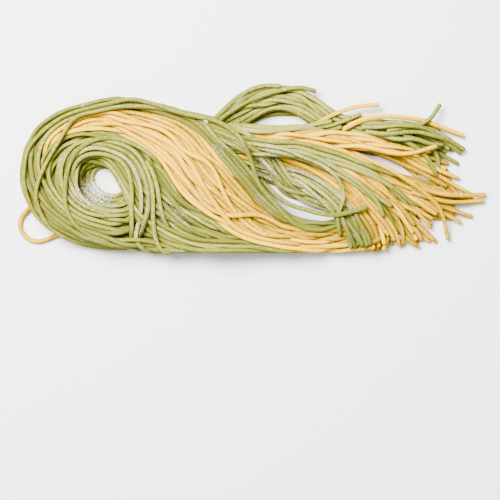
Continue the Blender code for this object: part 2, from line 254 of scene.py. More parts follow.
# Single strands that stray over the locks: colour, tone, points with their height
STRAYS = (
    ("yellow", 0.4, (
        (-104, -14, 3), (-114.5, -20.5, 2), (-118.5, -27.5, 1.3), (-115, -34.4, 1.3),
        (-108.5, -37.2, 1.5), (-98, -33, 2))),
    ("green", 0.4, (
        (-60, -39.5, 1.5), (-80, -38.5, 3), (-95, -34, 5), (-106, -24, 7), (-112.5, -8, 9),
        (-110.5, 9, 11), (-101, 21, 12), (-86, 29.5, 13), (-73, 32.2, 13.5), (-65, 34.4, 13),
        (-58, 35.4, 13), (-49, 33.4, 13), (-39.5, 29.2, 13), (-29, 26.5, 13), (-18.5, 24.3, 13),
        (-10.5, 20, 13.5), (-5, 14.5, 13.5), (-1.5, 8.5, 13), (1, 0.5, 13), (3, -7, 12), (8, -13, 12),
        (15, -21, 11.5), (21, -27, 11), (28.5, -30.5, 10.5), (35, -31.5, 9), (44, -30, 6))),
    ("green", 0.5, (
        (-15, 24, 3), (-23.5, 26, 6), (-38.5, 28.5, 11), (-51, 31, 13), (-66, 31, 14),
        (-78.5, 28.5, 14.5), (-88, 26, 14.5), (-94, 17, 14.5), (-102, 3.5, 13), (-106.5, -9, 12),
        (-105, -21, 10), (-98, -30, 8), (-84, -36, 6), (-68, -39.5, 3), (-54, -40.5, 1.5))),
    ("green", 0.55, (
        (-34, -39, 1.5), (-44, -36, 2), (-57, -31, 4), (-70, -29, 7), (-84, -26, 9), (-95, -18, 10),
        (-103.5, -6, 11), (-106, 6, 11), (-101, 17, 11), (-90, 25.5, 11), (-76, 29.5, 10), (-62, 30, 6),
        (-48, 27.5, 2), (-38, 24, 1.5))),
    ("green", 0.35, (
        (-26, -40, 1.3), (-38, -40, 1.3), (-52, -38, 2), (-68, -36, 5), (-84, -31, 8), (-92, -20, 10),
        (-93, -6, 12), (-89, 6, 13), (-80, 13.5, 13.5), (-68, 15, 13), (-56, 10, 12), (-48, 1, 9),
        (-42, -8, 5), (-36, -17, 3))),
    ("green", 0.55, (
        (-8, 16, 3), (5, 12, 11), (16.5, 10.5, 12.5), (26, 7, 13), (36, 2, 13), (43, -4, 13),
        (46, -12.5, 12.5), (45, -19, 12), (42.5, -25, 11), (44, -31.5, 6))),
    ("green", 0.5, (
        (5, -5, 5), (11, -11.5, 8), (17.5, -17, 9.5), (28, -20.5, 12), (37, -23, 13), (45, -22.5, 13),
        (52, -20.5, 12.5), (57.5, -19, 12))),
    ("yellow", 0.6, (
        (31, 19, 4), (38, 25, 8), (49, 30.5, 9), (57, 32.2, 8), (63.5, 32.5, 6))),
    ("yellow", 0.8, (
        (46, 18, 3), (54, 23.5, 7), (66.5, 26.5, 10), (76.5, 26, 10), (86.5, 24.5, 9), (96.5, 21, 6),
        (106.5, 17.5, 3))),
    ("yellow", 0.65, (
        (22, 8, 5), (34, 11, 9), (46.5, 13, 12), (59, 10.5, 12), (70, 8, 11), (79, 8, 10), (86, 10, 9),
        (92, 12, 8))),
    ("green", 0.55, (
        (68, 20, 6), (76, 21, 8), (84, 22, 9), (90, 25.5, 9), (93, 30, 7), (94.5, 32.5, 6))),
    ("green", 0.4, (
        (76, 17, 7), (84, 15, 8), (90.5, 11.5, 8), (93.5, 6, 6), (94, 0, 3))),
    ("green", 0.5, (
        (57, 18.5, 7), (66.5, 17, 8), (75, 18.5, 9), (83, 19.5, 9), (90, 18, 8), (99, 15, 6),
        (107, 10, 3))),
    ("green", 0.6, (
        (50, 17, 3), (58, 15.5, 6), (66, 16, 8.5), (74, 14.5, 9.5), (82, 15.5, 9.5), (89, 12.5, 9),
        (95.5, 12.5, 7))),
    ("green", 0.35, (
        (70, 17, 6), (78, 13, 8), (85, 8.5, 8), (90, 3, 6), (92, -2, 3))),
    ("green", 0.45, (
        (55, 20, 6), (64, 20.5, 8), (72, 21.5, 9), (81, 21.5, 9), (89, 20, 8), (97.5, 15, 6),
        (105.5, 9, 3))),
    ("yellow", 0.5, (
        (32, 10, 6), (45, 8, 11), (60.5, 2.5, 12.5), (74.5, -4, 12), (87.5, -12.5, 9), (95, -20.5, 7),
        (99, -35, 3))),
    ("yellow", 0.55, (
        (80, -8, 9), (98, -12.5, 6), (118, -12.5, 2.5))),
    ("yellow", 0.55, (
        (80, -11, 8), (98, -16, 5), (117, -15.5, 2.5))),
    ("green", 0.4, (
        (33, 21, 6), (39, 20, 9.5), (44.5, 22.5, 9.5), (50, 25, 9.5), (54.5, 27.5, 9))),
    ("green", 0.35, (
        (-18, 24.5, 5), (-14, 29.5, 6.5), (-8, 35.5, 8), (-2, 39.5, 8), (6, 42, 7), (14, 41, 5))),
    ("green", 0.3, (
        (-16, 23, 6), (-10, 28.5, 7), (-2.5, 33, 9), (6, 37, 10), (15, 39.5, 9), (24, 41, 8),
        (32, 39.5, 6))),
)

# Places where the dough is darker or paler than its lock, partly its own tone and partly painted shade and
# light: x, y, radius and change of tone
TONE_AND_PAINTED_SHADE = (
    (8, -30, 20, -0.25), (36, -34, 18, -0.25), (-20, -22, 14, -0.1), (-45, 18, 20, 0.1),
    (-75, -8, 22, 0.12), (-108, -10, 16, -0.1), (-84, -36, 16, -0.12), (78, -22, 28, -0.25),
    (58, 12, 20, 0.3), (10, 34, 16, 0.15), (96, -8, 14, -0.1), (64, -28, 9, -0.12), (-4, 24, 8, -0.2),
    (108, -16, 12, -0.05), (54, -32, 7, -1.0), (30, -8, 14, 0.15), (88, 20, 14, -0.2),
)

# Places where the flour lies thick: x, y, radius and how thick
FLOURED = (
    (-79, -11, 5, 0.9), (-70, -17, 4.5, 0.7), (-24, -2, 10, 0.3), (-6, 14, 9, 0.3), (8, 4, 10, 0.7),
    (18, 16, 14, 0.35), (32, -4, 14, 0.65), (50, -14, 10, 0.6), (66, 6, 12, 0.35), (-58, 34, 12, 0.4),
    (-40, -22, 14, 0.5), (-14, 8, 9, 0.25),
)

# First angle of the coil at which a strand starts, how many it takes to climb to its level,
# and the share of the level at which it starts
HIDDEN_ANGLES = {"green": 0, "yellow": 2}
RISE = {"green": 2.5, "yellow": 6.0}
RISE_START = 0.25
# Height of a strand that lies on the floor, and from one level to the next
FLOOR_HEIGHT = 1.1
LEVEL_STEP = 1.95
# How the strands of a lock differ: in level, in slant across the coil and in place
LEVEL_SPREAD = 0.5
SLANT_SPREAD = 0.13
COIL_JITTER = 0.3
FAN_JITTER = 0.4
# Strands that come along the front edge: the lines that they keep between, where they turn up,
# their share of the level, and the first angle of the coil that they join
LEAD_LINES = (-40.6, -33.0)
LEAD_MIDDLE = -66
LEAD_LEAVES = -58
LEAD_SLANT = 6
LEAD_LEVEL = 0.25
LEAD_JOINS = 2
# The yellow strands start nearer the eye and move out over the first angles
YELLOW_INWARD = 0.15
YELLOW_ANGLES = 5
# Stations at which a lock of the sweep leaves its lane and reaches the one at the pinch
SWEEP_LEAVES = 2.8
SWEEP_REACHES = 6.8
# Levels that a strand stands over its lane where the coil turns into the sweep
CREST = 1.5
# Station from which the sweep flattens, how much a station, and the least that stays
PINCH = 6
PINCH_SINKS = 0.25
PINCH_LEAST = 0.3
# The last stretch of a strand of the sweep: its shortest, its drift and its share of the level
LAST_STRETCH = 0.3
END_SPREAD = 0.04
END_LEVEL = 0.5
# Unseen strands under the sweep: height, the stations where they rise and sink, and borders.
# A pair is a start or an end, and the length over which the height changes
FLOW_HEIGHT = 6.2
FLOW_RISES = (-0.6, 0.8)
FLOW_SINKS = (4.6, 2.0)
FLOW_BACK = 0.16
FLOW_FRONT = 0.3
FLOW_FRONT_RISES = (0.6, 1.6)
OVER_ROOT_HEIGHT = 5.0
OVER_ROOT_RISES = (0.2, 0.8)
OVER_ROOT_SINKS = (3.6, 1.0)
# The same at the root of the brush
ROOT_HEIGHT = 3.5
ROOT_RISES = (-0.5, 1.0)
ROOT_SINKS = (4.2, 1.5)
ROOT_BACK = 0.1
ROOT_FRONT = (0.72, 0.12)
# Stations at which a lock of the brush leaves its first lane and reaches its middle one, how far
# past that it starts to open, and over how many stations
FAN_LEAVES = 1.5
FAN_MIDDLE = 4
FAN_PAUSE = 0.5
FAN_OPENS = 1.5
# It climbs out of its root, and sinks this much a station past the middle
FAN_CLIMBS = (-1.4, 2.4)
FAN_SINKS = 0.2
# Its shortest last stretch, and how far the cut end bends off to one side
FAN_LAST_STRETCH = 0.4
END_BEND = 0.18
# Stray strands are laid this much over their route, and sink on to the pile
STRAY_LIFT = 1.5
# How far strands drift across their net, as a share of its width, and for how many stations
COIL_WANDER = 0.07
FAN_WANDER = 0.04
ARCH_WANDER = 0.17
COIL_DRIFTS = 40
FAN_DRIFTS = 14
# The sweep reads the drift from this station on, and takes this share of it
SWEEP_FIRST_DRIFT = 12
SWEEP_DRIFT = 0.8

# Distance between the points of a route that settles, and readings of its curve between two points
POINT_SPACING = 2.2
CURVE_READINGS = 16
# Points of one strand closer along it than this do not push each other
NEIGHBOURS = 5
# The strands start thin and swell over the rounds
THIN_START = 0.55
SWELLING = 0.9
# How far they sink in a round, at first and after this share of the rounds
SINKING = 0.02
LATE_SINKING = 0.006
LATE_ROUNDS = 0.6
# Share of a bend that a round takes out: across the route and in height
STIFF_ACROSS = 0.5
STIFF_HEIGHT = 0.35
# Pull back to the route, and the stronger one on a strand pushed farther than this
HOMING = 0.02
HELD_BACK = 0.25
FREE_REACH = 2.0
# Rounds between two searches for strands that may touch, and the reach in diameters
SEARCH_ROUNDS = 6
SEARCH_REACH = 1.6
# Share of a change in length that a round mends at each end of a piece between two points
MENDING = 0.25
# How much each touch of a point takes from the push of the others
TOUCH_SHARE = 0.3
# Strands stay inside the coil's outline by this margin, unless laid farther out than the leeway
FENCE_MARGIN = 0.4
FENCE_LEEWAY = 1.08
# How far past the coil's centre this fence goes, and the shares that it leaves and takes of a
# strand's reach past it
FENCE_LENGTH = 20
FENCE_LEAVES = 0.3
FENCE_TAKES = 0.7
# Nearest line that the strands may be pushed to
FRONT_EDGE = -40.8

# Passes that take the last kinks out of a settled strand
LAST_PASSES = 2
# 2 is a round section, more is squarer
SQUARENESS = 2.3
# How much a strand turns from ring to ring, and how its thickness differs and wavers
TWIST_SPREAD = 0.06
THICKNESS_SPREAD = 0.025
THICKNESS_WAVER = 0.05
WAVER_RINGS = 5
LOWEST_POINT = 0.02
# A cut end: its length in diameters, and how much it is drawn in
TIP_LENGTH = 0.12
TIP_SHRINK = 0.18
SHARP_ANGLE = math.radians(50)
# Tone and dust marks: how the strands differ, and the painted shade that darkens those deep in the pile
TONE_SPREAD = {"green": 0.22, "yellow": 0.26}
DUST_SPREAD = 0.22
DEEP_SHADE = 0.055
DEEP_FROM = 1.2
DEEP_RANGE = 6
# Side of a cell of the map of the pile's top, and the passes that spread its heights
PILE_CELL = 2.5
PILE_PASSES = 2

# A crumb of flour: height and width of its two rings, its two poles, and how uneven it is
CRUMB_CORNERS = 5
CRUMB_RINGS = ((0.0, 1.0), (0.45, 0.75))
CRUMB_POLES = (-0.4, 0.75)
CRUMB_UNEVEN = (0.75, 1.25)
CRUMB_SIZES = (0.05, 0.16)
# Clumps lie in the eye, this far from its centre, and are larger than crumbs
CLUMP_SHIFT = -3.5
CLUMP_REACH = (4.5, 4)
CLUMP_SIZE = 1.5
# Chance of a crumb where no flour lies thick, and the most tries for each crumb
BARE_CHANCE = 0.1
TRIES = 40
# Height in metres from which crumbs drop on to the strands
DROP_HEIGHT = 0.05
DARKER_FLOUR = 0.86

# The cores: places across a section, heights of its foot and of the lowest top, and how far the top
# stays under the strands
CORE_SHARES = (0.0, 0.12, 0.3, 0.5, 0.7, 0.88, 1.0)
CORE_FOOT = 0.1
CORE_LOWEST = 0.5
SWEEP_CORE_LOWEST = 1.5
BRUSH_CORE_LOWEST = 0.6
COIL_CORE_HEIGHT = 3.0
SWEEP_CORE_DROP = 1.2
BRUSH_CORE_DROP = 0.6
# Their borders across the coil, the sweep and the brush, and their stations
COIL_CORE = (0.12, 0.9)
SWEEP_CORE = (0.1, 0.9)
BRUSH_CORE = (0.06, 0.4)
COIL_CORE_STEPS = 28
SWEEP_CORE_STATIONS = 8
BRUSH_CORE_STATIONS = (0.2, 1.2, 2.2, 3.2)
# Colours of the cores: painted shade, as dark as the gaps deep in the pile
CORE_PAINTED_SHADE_DARK = (0.20, 0.14, 0.04)
CORE_PAINTED_SHADE_PALE = (0.38, 0.29, 0.11)

# Noises, each a scale and a detail
PATCH_NOISE = (230.0, 3.0)
SPECK_NOISE = (1000.0, 2.0)
GRAIN_NOISE = (1400.0, 3.0)
POWDER_NOISE = (1500.0, 3.0)
DRIFT_NOISE = (90.0, 2.0)
NOISE_ROUGHNESS = 0.62
# Tone of the dough: where it starts, and what each source adds
DOUGH_START = -1.82
OWN_TONE = 1.15
# Painted light and shade: the upper faces of a strand are made paler and its sides darker
PAINTED_TOP_LIGHT = 0.85
PATCHES = 0.55
SPECKS = 1.9
# The powder on it: what each source adds to its own noise
DRIFTS = 0.35
DUST = 0.2
UPPER_DUST = 0.06
# Value of the powder at which flour begins to show, and over which range it grows
FLOUR_FROM = {"green": 0.88, "yellow": 0.98}
FLOUR_RANGE = 0.2
# Flour shows less on the yellow dough, as a share of the green
FLOUR_SHARE = {"green": 1.0, "yellow": 0.35}
DOUGH_ROUGHNESS = (0.6, 0.9)
DRY_ROUGHNESS = 0.95
MATT_ROUGHNESS = 0.9

# The stage. The floor reaches this far in millimetres, and the soft box and the camera stand at
# these places in metres
FLOOR_REACH = 900
LAMP_PLACE = (-0.35, 0.35, 0.8)
LAMP_SIZE = 0.5
CAMERA_PLACE = (-0.001, -0.040)
SENSOR_WIDTH = 36.0
# Width that the photograph's frame takes in at this height over the floor, in millimetres
FRAME_WIDTH = 250.0
FRAME_HEIGHT = 10.0
# Seed of the random draws
SEED = 5


class Strand:
    """A strand on its way from route to mesh. Each point has its place and the height under it."""

    def __init__(self, colour, tone, points, passes=8):
        route = without_kinks(smooth_route(points), passes)
        self.colour = colour
        self.tone = tone
        self.points = route[:, :3]
        self.floors = np.maximum(route[:, 3], 0.0)


def mix(a, b, t):
    """The value that lies the share t of the way from a to b."""
    return np.asarray(a, float) * (1 - t) + np.asarray(b, float) * t


def ease(t):
    """A share of 0 to 1 that starts and ends gently."""
    t = min(max(t, 0.0), 1.0)
    return t * t * (3 - 2 * t)


def rises(value, start, length):
    """0 up to the start, 1 from the length after it, eased in between."""
    return ease((value - start) / length)


def sinks(value, end, length):
    """1 up to the length before the end, 0 from the end, eased in between."""
    return ease((end - value) / length)


def fold_back(share):
    """Keep a share between 0 and 1 by turning it back at the borders."""
    share = abs(share)
    return share if share <= 1 else 2 - share


def coil_point(share, degrees):
    """A point on the coil, share = 0 on its outer border and 1 at the eye."""
    centre = mix(COIL_CENTRE, EYE_CENTRE, share)
    tilt = EYE_TILT * share
    angle = math.radians(degrees) - tilt
    u = mix(COIL_HALF_LENGTH, EYE_HALF_LENGTH, share) * math.cos(angle)
    v = mix(COIL_HALF_WIDTH, EYE_HALF_WIDTH, share) * math.sin(angle)
    x = centre[0] + u * math.cos(tilt) - v * math.sin(tilt)
    y = centre[1] + u * math.sin(tilt) + v * math.cos(tilt)
    return np.array([x, y])


def station_point(points, share):
    """A point on the line through a station's points, share = 0 at the back and 1 at the front."""
    place = min(max(share, 0.0), 1.0) * (len(points) - 1)
    first = min(int(place), len(points) - 2)
    return mix(points[first], points[first + 1], place - first)


def net_point(net, place, share):
    """A point on a net at a station that may lie between two of its own."""
    first = min(max(int(place), 0), len(net) - 2)
    return mix(station_point(net[first], share), station_point(net[first + 1], share), place - first)


def smooth_route(points, step=POINT_SPACING):
    """A Catmull-Rom curve through the points, read at an even step."""
    p = np.asarray(points, float)
    p = np.vstack([2 * p[0] - p[1], p, 2 * p[-1] - p[-2]])
    t = np.linspace(0, 1, CURVE_READINGS, endpoint=False)[:, None]
    runs = []
    for a, b, c, d in zip(p, p[1:], p[2:], p[3:]):
        bend = (2 * a - 5 * b + 4 * c - d) * t ** 2 + (3 * b - 3 * c + d - a) * t ** 3
        runs.append(0.5 * (2 * b + (c - a) * t + bend))
    curve = np.vstack(runs + [p[-2:-1]])
    along = np.concatenate([[0], np.cumsum(np.linalg.norm(np.diff(curve[:, :3], axis=0), axis=1))])
    reads = np.linspace(0, along[-1], max(4, int(round(along[-1] / step)) + 1))
    return np.stack([np.interp(reads, along, curve[:, k]) for k in range(curve.shape[1])], 1)


def without_kinks(route, passes):
    """The route with each point moved, pass by pass, towards the middle of its neighbours."""
    route = route.copy()
    for _ in range(passes):
        route[1:-1] = 0.25 * route[:-2] + 0.5 * route[1:-1] + 0.25 * route[2:]
    return route


def wander(draw, count, size):
    """A smooth random drift, one value for each station."""
    spare = 2
    drift = np.convolve(draw.normal(0, 1, count + 2 * spare), (0.25, 0.5, 0.25), "same")
    return size * drift[spare:spare + count]


def lane_share(lane, place):
    """The share of its net's width at which a strand of a lock lies."""
    return lane.low + (lane.high - lane.low) * place


def hidden_flow(place, share):
    """Height of the strands that run back unseen under the sweep."""
    along = rises(place, *FLOW_RISES) * sinks(place, *FLOW_SINKS)
    inside = FLOW_HEIGHT * along * rises(share, 0.0, FLOW_BACK)
    over_root = OVER_ROOT_HEIGHT * rises(place, *OVER_ROOT_RISES) * sinks(place, *OVER_ROOT_SINKS)
    border = mix(1.0, sinks(share, 1.0, FLOW_FRONT), rises(place, *FLOW_FRONT_RISES))
    return max(inside, over_root) * border


def hidden_root(place, share):
    """Height of the unseen strands at the root of the brush."""
    along = rises(place, *ROOT_RISES) * sinks(place, *ROOT_SINKS)
    return ROOT_HEIGHT * along * rises(share, 0.0, ROOT_BACK) * sinks(share, *ROOT_FRONT)


def in_frame(x, y, z):
    """A place in the frame of the solid."""
    return (x - NEST_CENTRE[0], y - NEST_CENTRE[1], z)


def at_level(xy, level, base=0.0):
    """A point of a route, with the height of what lies under it."""
    return (*in_frame(*xy, FLOOR_HEIGHT + LEVEL_STEP * level + base), base)


def climb(number, colour):
    """Share of its level that a strand has at one of the coil's angles."""
    return mix(RISE_START, 1.0, ease((number + 0.5) / RISE[colour]))


def coil_strand(lock, place, draw):
    """A strand from under the sweep, round the eye, down the sweep and past the pinch."""
    drift = wander(draw, COIL_DRIFTS, COIL_WANDER)
    coil_share = lane_share(lock.coil, place)
    sweep_share = lane_share(lock.sweep, place)
    pinch_share = lane_share(lock.pinch, place)
    coil_level = lock.coil.level + draw.uniform(-LEVEL_SPREAD, LEVEL_SPREAD)
    slant = draw.normal(0, SLANT_SPREAD)
    points = []
    joins = 0
    if lock.lead:
        # It comes along the front edge, under the strands that turn down there
        joins = LEAD_JOINS
        start = draw.uniform(*lock.lead)
        front = mix(*LEAD_LINES, coil_share)
        for x in (start, mix(start, LEAD_MIDDLE, 0.5), LEAD_LEAVES - LEAD_SLANT * coil_share):
            points.append(at_level((x, front), LEAD_LEVEL * coil_level))
    for number, degrees in enumerate(COIL_ANGLES):
        if number < max(joins, HIDDEN_ANGLES[lock.colour]):
            continue
        turn = ease((number - lock.turn[0]) / (lock.turn[1] - lock.turn[0]))
        share = mix(coil_share, sweep_share, turn) + drift[number] * (1 - turn)
        share += slant * math.sin(math.pi * number / (len(COIL_ANGLES) - 1)) * (1 - turn)
        if lock.colour == "yellow":
            share += YELLOW_INWARD * (1 - ease(number / YELLOW_ANGLES))
        share = fold_back(share)
        level = mix(coil_level * climb(number, lock.colour), lock.sweep.level + CREST, turn)
        points.append(at_level(coil_point(share, degrees), level))
    last = draw.uniform(*lock.ends)
    for station in range(int(math.ceil(last - LAST_STRETCH))):
        turn = ease((station - SWEEP_LEAVES) / (SWEEP_REACHES - SWEEP_LEAVES))
        share = mix(sweep_share, pinch_share, turn) + drift[SWEEP_FIRST_DRIFT + station] * SWEEP_DRIFT
        share = fold_back(share)
        flat = max(PINCH_LEAST, 1 - PINCH_SINKS * max(0, station - PINCH))
        level = mix(lock.sweep.level, lock.pinch.level, turn) * flat
        points.append(at_level(net_point(SWEEP, station, share), level, hidden_flow(station, share)))
    share = fold_back(share + draw.normal(0, END_SPREAD))
    points.append(at_level(net_point(SWEEP, last, share), END_LEVEL * level))
    return Strand(lock.colour, lock.tone + draw.normal(0, TONE_SPREAD[lock.colour]), points)


def eye_strand(share, level, draw):
    """A low turn inside the eye, farther to the back right the lower it lies."""
    points = []
    shift = np.multiply(EYE_SHIFT, 1 - level / EYE_TURNS[0][1])
    for degrees in EYE_ANGLES:
        points.append(at_level(coil_point(share + draw.normal(0, EYE_SPREAD), degrees) + shift, level))
    return Strand("green", EYE_TONE, points)


def routed_strand(colour, tone, share, level, route):
    """A strand that runs round the coil and then takes a route of its own."""
    points = []
    for number, degrees in enumerate(COIL_ANGLES[:-1]):
        if number >= HIDDEN_ANGLES[colour]:
            points.append(at_level(coil_point(share, degrees), level * climb(number, colour)))
    points += [(*in_frame(*place), 0.0) for place in route]
    return Strand(colour, tone, points, passes=1)


def fan_lane(lock, station):
    """The lane of a lock of the brush or the arch at a station."""
    if station < FAN_MIDDLE:
        turn = ease((station - FAN_LEAVES) / (FAN_MIDDLE - FAN_LEAVES))
        return Lane(*mix(lock.start, lock.middle, turn))
    return Lane(*mix(lock.middle, lock.end, ease((station - FAN_MIDDLE - FAN_PAUSE) / FAN_OPENS)))


def fan_strand(lock, place, draw):
    """A strand of the brush or the arch, out to its cut end."""
    last = draw.uniform(*lock.ends)
    drift = wander(draw, FAN_DRIFTS, FAN_WANDER if lock.net is BRUSH else ARCH_WANDER)
    stations = [lock.first] + list(range(math.floor(lock.first) + 1, math.ceil(last)))
    if last - stations[-1] < FAN_LAST_STRETCH and len(stations) > 2:
        stations.pop()
    stations.append(last)
    points = []
    for number, station in enumerate(stations):
        lane = fan_lane(lock, station)
        share = fold_back(lane_share(lane, place) + drift[number])
        level = lane.level * rises(station, *FAN_CLIMBS)
        base = 0.0
        if lock.net is BRUSH:
            level *= 1 - FAN_SINKS * max(0, station - FAN_MIDDLE)
            base = hidden_root(station, share)
        points.append(at_level(net_point(lock.net, station, share), level, base))
    # The cut end bends off to one side
    heading = np.subtract(points[-1][:2], points[-2][:2])
    aside = draw.normal(0, END_BEND)
    x, y, z, floor = points[-1]
    points[-1] = (x - heading[1] * aside, y + heading[0] * aside, z, floor)
    return Strand(lock.colour, lock.tone + draw.normal(0, TONE_SPREAD[lock.colour]), points, passes=4)


def lay_strands():
    """Every strand on its route, before it settles."""
    draw = np.random.default_rng(SEED)
    strands = []
    for lock in COIL_LOCKS:
        for number in range(lock.count):
            place = (number + 0.5 + draw.uniform(-COIL_JITTER, COIL_JITTER)) / lock.count
            strands.append(coil_strand(lock, place, draw))
    for share, level in EYE_TURNS:
        strands.append(eye_strand(share, level, draw))
    for entry in ROUTED:
        strands.append(routed_strand(*entry))
    for lock in FAN_LOCKS:
        for number in range(lock.count):
            place = (number + 0.5 + draw.uniform(-FAN_JITTER, FAN_JITTER)) / lock.count
            strands.append(fan_strand(lock, place, draw))
    for colour, tone, route in STRAYS:
        points = [(*in_frame(x, y, z + STRAY_LIFT), 0.0) for x, y, z in route]
        strands.append(Strand(colour, tone, points, passes=1))
    return strands


def near_pairs(middles, strand, index, reach):
    """Pairs of segment middles closer than the reach, found on a grid of cells."""
    cell = np.floor((middles - middles.min(0)) / reach).astype(np.int64) + 1
    size = cell.max(0) + 2
    key = (cell[:, 0] * size[1] + cell[:, 1]) * size[2] + cell[:, 2]
    order = np.argsort(key, kind="stable")
    cells, start, count = np.unique(key[order], return_index=True, return_counts=True)
    home = np.repeat(np.arange(len(cells)), count)
    firsts = []
    seconds = []
    offsets = [(x, y, z) for x in (0, 1) for y in (-1, 0, 1) for z in (-1, 0, 1) if (x, y, z) >= (0, 0, 0)]
    for x, y, z in offsets:
        shift = (x * size[1] + y) * size[2] + z
        at = np.searchsorted(cells, cells + shift)
        at[at == len(cells)] = 0
        matches = np.where(cells[at] == cells + shift, count[at], 0)[home]
        a = np.repeat(np.arange(len(key)), matches)
        before = np.repeat(np.cumsum(matches) - matches, matches)
        b = np.repeat(start[at][home], matches) + np.arange(len(a)) - before
        if shift == 0:
            a, b = a[b > a], b[b > a]
        firsts.append(order[a])
        seconds.append(order[b])
    a = np.concatenate(firsts)
    b = np.concatenate(seconds)
    same = (strand[a] == strand[b]) & (np.abs(index[a] - index[b]) < NEIGHBOURS)
    close = ((middles[a] - middles[b]) ** 2).sum(1) < reach * reach
    return a[close & ~same], b[close & ~same]


def settle(strands, diameter, rounds):
    """Let the strands sink and push each other apart until they rest side by side."""
    home = np.vstack([s.points for s in strands])
    floor = np.concatenate([s.floors for s in strands]) + diameter / 2
    lengths = [len(s.points) for s in strands]
    owner = np.repeat(np.arange(len(strands)), lengths)
    index = np.concatenate([np.arange(n) for n in lengths])
    point = home.copy()
    segment = np.nonzero(owner[:-1] == owner[1:])[0]
    inner = np.nonzero((owner[:-2] == owner[1:-1]) & (owner[2:] == owner[1:-1]))[0] + 1
    rest = np.linalg.norm(home[segment + 1] - home[segment], axis=1)
    for turn in range(rounds):
        swell = diameter * min(1.0, THIN_START + SWELLING * turn / rounds)
        point[:, 2] -= SINKING if turn < LATE_ROUNDS * rounds else LATE_SINKING
        moved = point - home
        between = 0.5 * (moved[inner - 1, :2] + moved[inner + 1, :2])
        point[inner, :2] += STIFF_ACROSS * (between - moved[inner, :2])
        between = 0.5 * (point[inner - 1, 2] + point[inner + 1, 2])
        point[inner, 2] += STIFF_HEIGHT * (between - point[inner, 2])
        point[:, :2] -= HOMING * moved[:, :2]
        aside = np.linalg.norm(moved[:, :2], axis=1)
        held = HELD_BACK * np.maximum(0, aside - FREE_REACH) / np.maximum(aside, FREE_REACH)
        point[:, :2] -= held[:, None] * moved[:, :2]
        if turn % SEARCH_ROUNDS == 0:
            middles = 0.5 * (point[segment] + point[segment + 1])
            first, second = near_pairs(middles, owner[segment], index[segment], SEARCH_REACH * diameter)
        push_apart(point, segment[first], segment[second], swell)
        for half in (0, 1):
            ends = segment[half::2]
            reach = point[ends + 1] - point[ends]
            length = np.linalg.norm(reach, axis=1) + 1e-9
            mend = (MENDING * (length - rest[half::2]) / length)[:, None] * reach
            point[ends] += mend
            point[ends + 1] -= mend
        point[:, 2] = np.maximum(point[:, 2], floor)
        reach = coil_reach(point)
        fenced = (coil_reach(home) <= FENCE_LEEWAY) & (point[:, 0] < COIL_CENTRE[0] + FENCE_LENGTH)
        over = (reach > 1) & fenced
        centre = np.subtract(COIL_CENTRE, NEST_CENTRE)
        pull = FENCE_LEAVES + FENCE_TAKES / reach[over]
        point[over, :2] = centre + (point[over, :2] - centre) * pull[:, None]
        point[:, 1] = np.maximum(point[:, 1], np.minimum(home[:, 1], FRONT_EDGE - NEST_CENTRE[1]))
    start = 0
    for strand, length in zip(strands, lengths):
        strand.points = point[start:start + length]
        start += length


def coil_reach(point):
    """Distance from the middle of the coil, 1 at the outline that the strands may fill."""
    u = (point[:, 0] + NEST_CENTRE[0] - COIL_CENTRE[0]) / (COIL_HALF_LENGTH - FENCE_MARGIN)
    v = (point[:, 1] + NEST_CENTRE[1] - COIL_CENTRE[1]) / (COIL_HALF_WIDTH - FENCE_MARGIN)
    dent = DENT_DEPTH * np.exp(-((np.degrees(np.arctan2(v, u)) - DENT_ANGLE) / DENT_WIDTH) ** 2)
    return np.hypot(u, v) / (1 - dent)


def push_apart(point, a, b, apart):
    """Move the ends of segments a and b so that no two are closer than apart."""
    p1 = point[a]
    p2 = point[b]
    d1 = point[a + 1] - p1
    d2 = point[b + 1] - p2
    r = p1 - p2
    aa = (d1 * d1).sum(1)
    bb = (d2 * d2).sum(1)
    ab = (d1 * d2).sum(1)
    ar = (d1 * r).sum(1)
    br = (d2 * r).sum(1)
    area = aa * bb - ab * ab
    nearest = np.clip((ab * br - ar * bb) / np.maximum(area, 1e-12), 0, 1)
    s = np.where(area > 1e-6 * aa * bb, nearest, 0.5)
    t = np.clip((ab * s + br) / bb, 0, 1)
    s = np.clip((ab * t - ar) / aa, 0, 1)
    gap = (p1 + s[:, None] * d1) - (p2 + t[:, None] * d2)
    distance = np.sqrt((gap * gap).sum(1)) + 1e-9
    hit = distance < apart
    s, t, gap, distance, a, b = s[hit], t[hit], gap[hit], distance[hit], a[hit], b[hit]
    strength = (apart - distance) / ((1 - s) ** 2 + s ** 2 + (1 - t) ** 2 + t ** 2)
    push = gap / distance[:, None] * strength[:, None]
    index = np.concatenate([a, a + 1, b, b + 1])
    weight = np.concatenate([1 - s, s, t - 1, -t])
    push = np.concatenate([push, push, push, push]) * weight[:, None]
    touches = np.bincount(index, minlength=len(point))
    share = 1.0 / np.maximum(1.0, touches * TOUCH_SHARE)
    for axis in range(3):
        point[:, axis] += np.bincount(index, push[:, axis], minlength=len(point)) * share


def height_map(strands, cell):
    """The top of the pile on a grid of cells, with its lowest corner."""
    points = np.vstack([strand.points for strand in strands])
    corner = points[:, :2].min(0) - 2 * cell
    size = ((points[:, :2].max(0) - corner) / cell).astype(int) + 3
    top = np.zeros(size)
    place = ((points[:, :2] - corner) / cell).astype(int)
    np.maximum.at(top, (place[:, 0], place[:, 1]), points[:, 2])
    for _ in range(PILE_PASSES):
        wide = np.pad(top, 1, "edge")
        around = [wide[x:x + size[0], y:y + size[1]] for x in range(3) for y in range(3)]
        top = 0.5 * np.mean(around, axis=0) + 0.5 * np.max(around, axis=0)
    return top, corner


def depth_below(points, top, corner, cell):
    """How far the points lie under the top of the pile."""
    place = ((points[:, :2] - corner) / cell).astype(int)
    return np.maximum(0, top[place[:, 0], place[:, 1]] - points[:, 2])


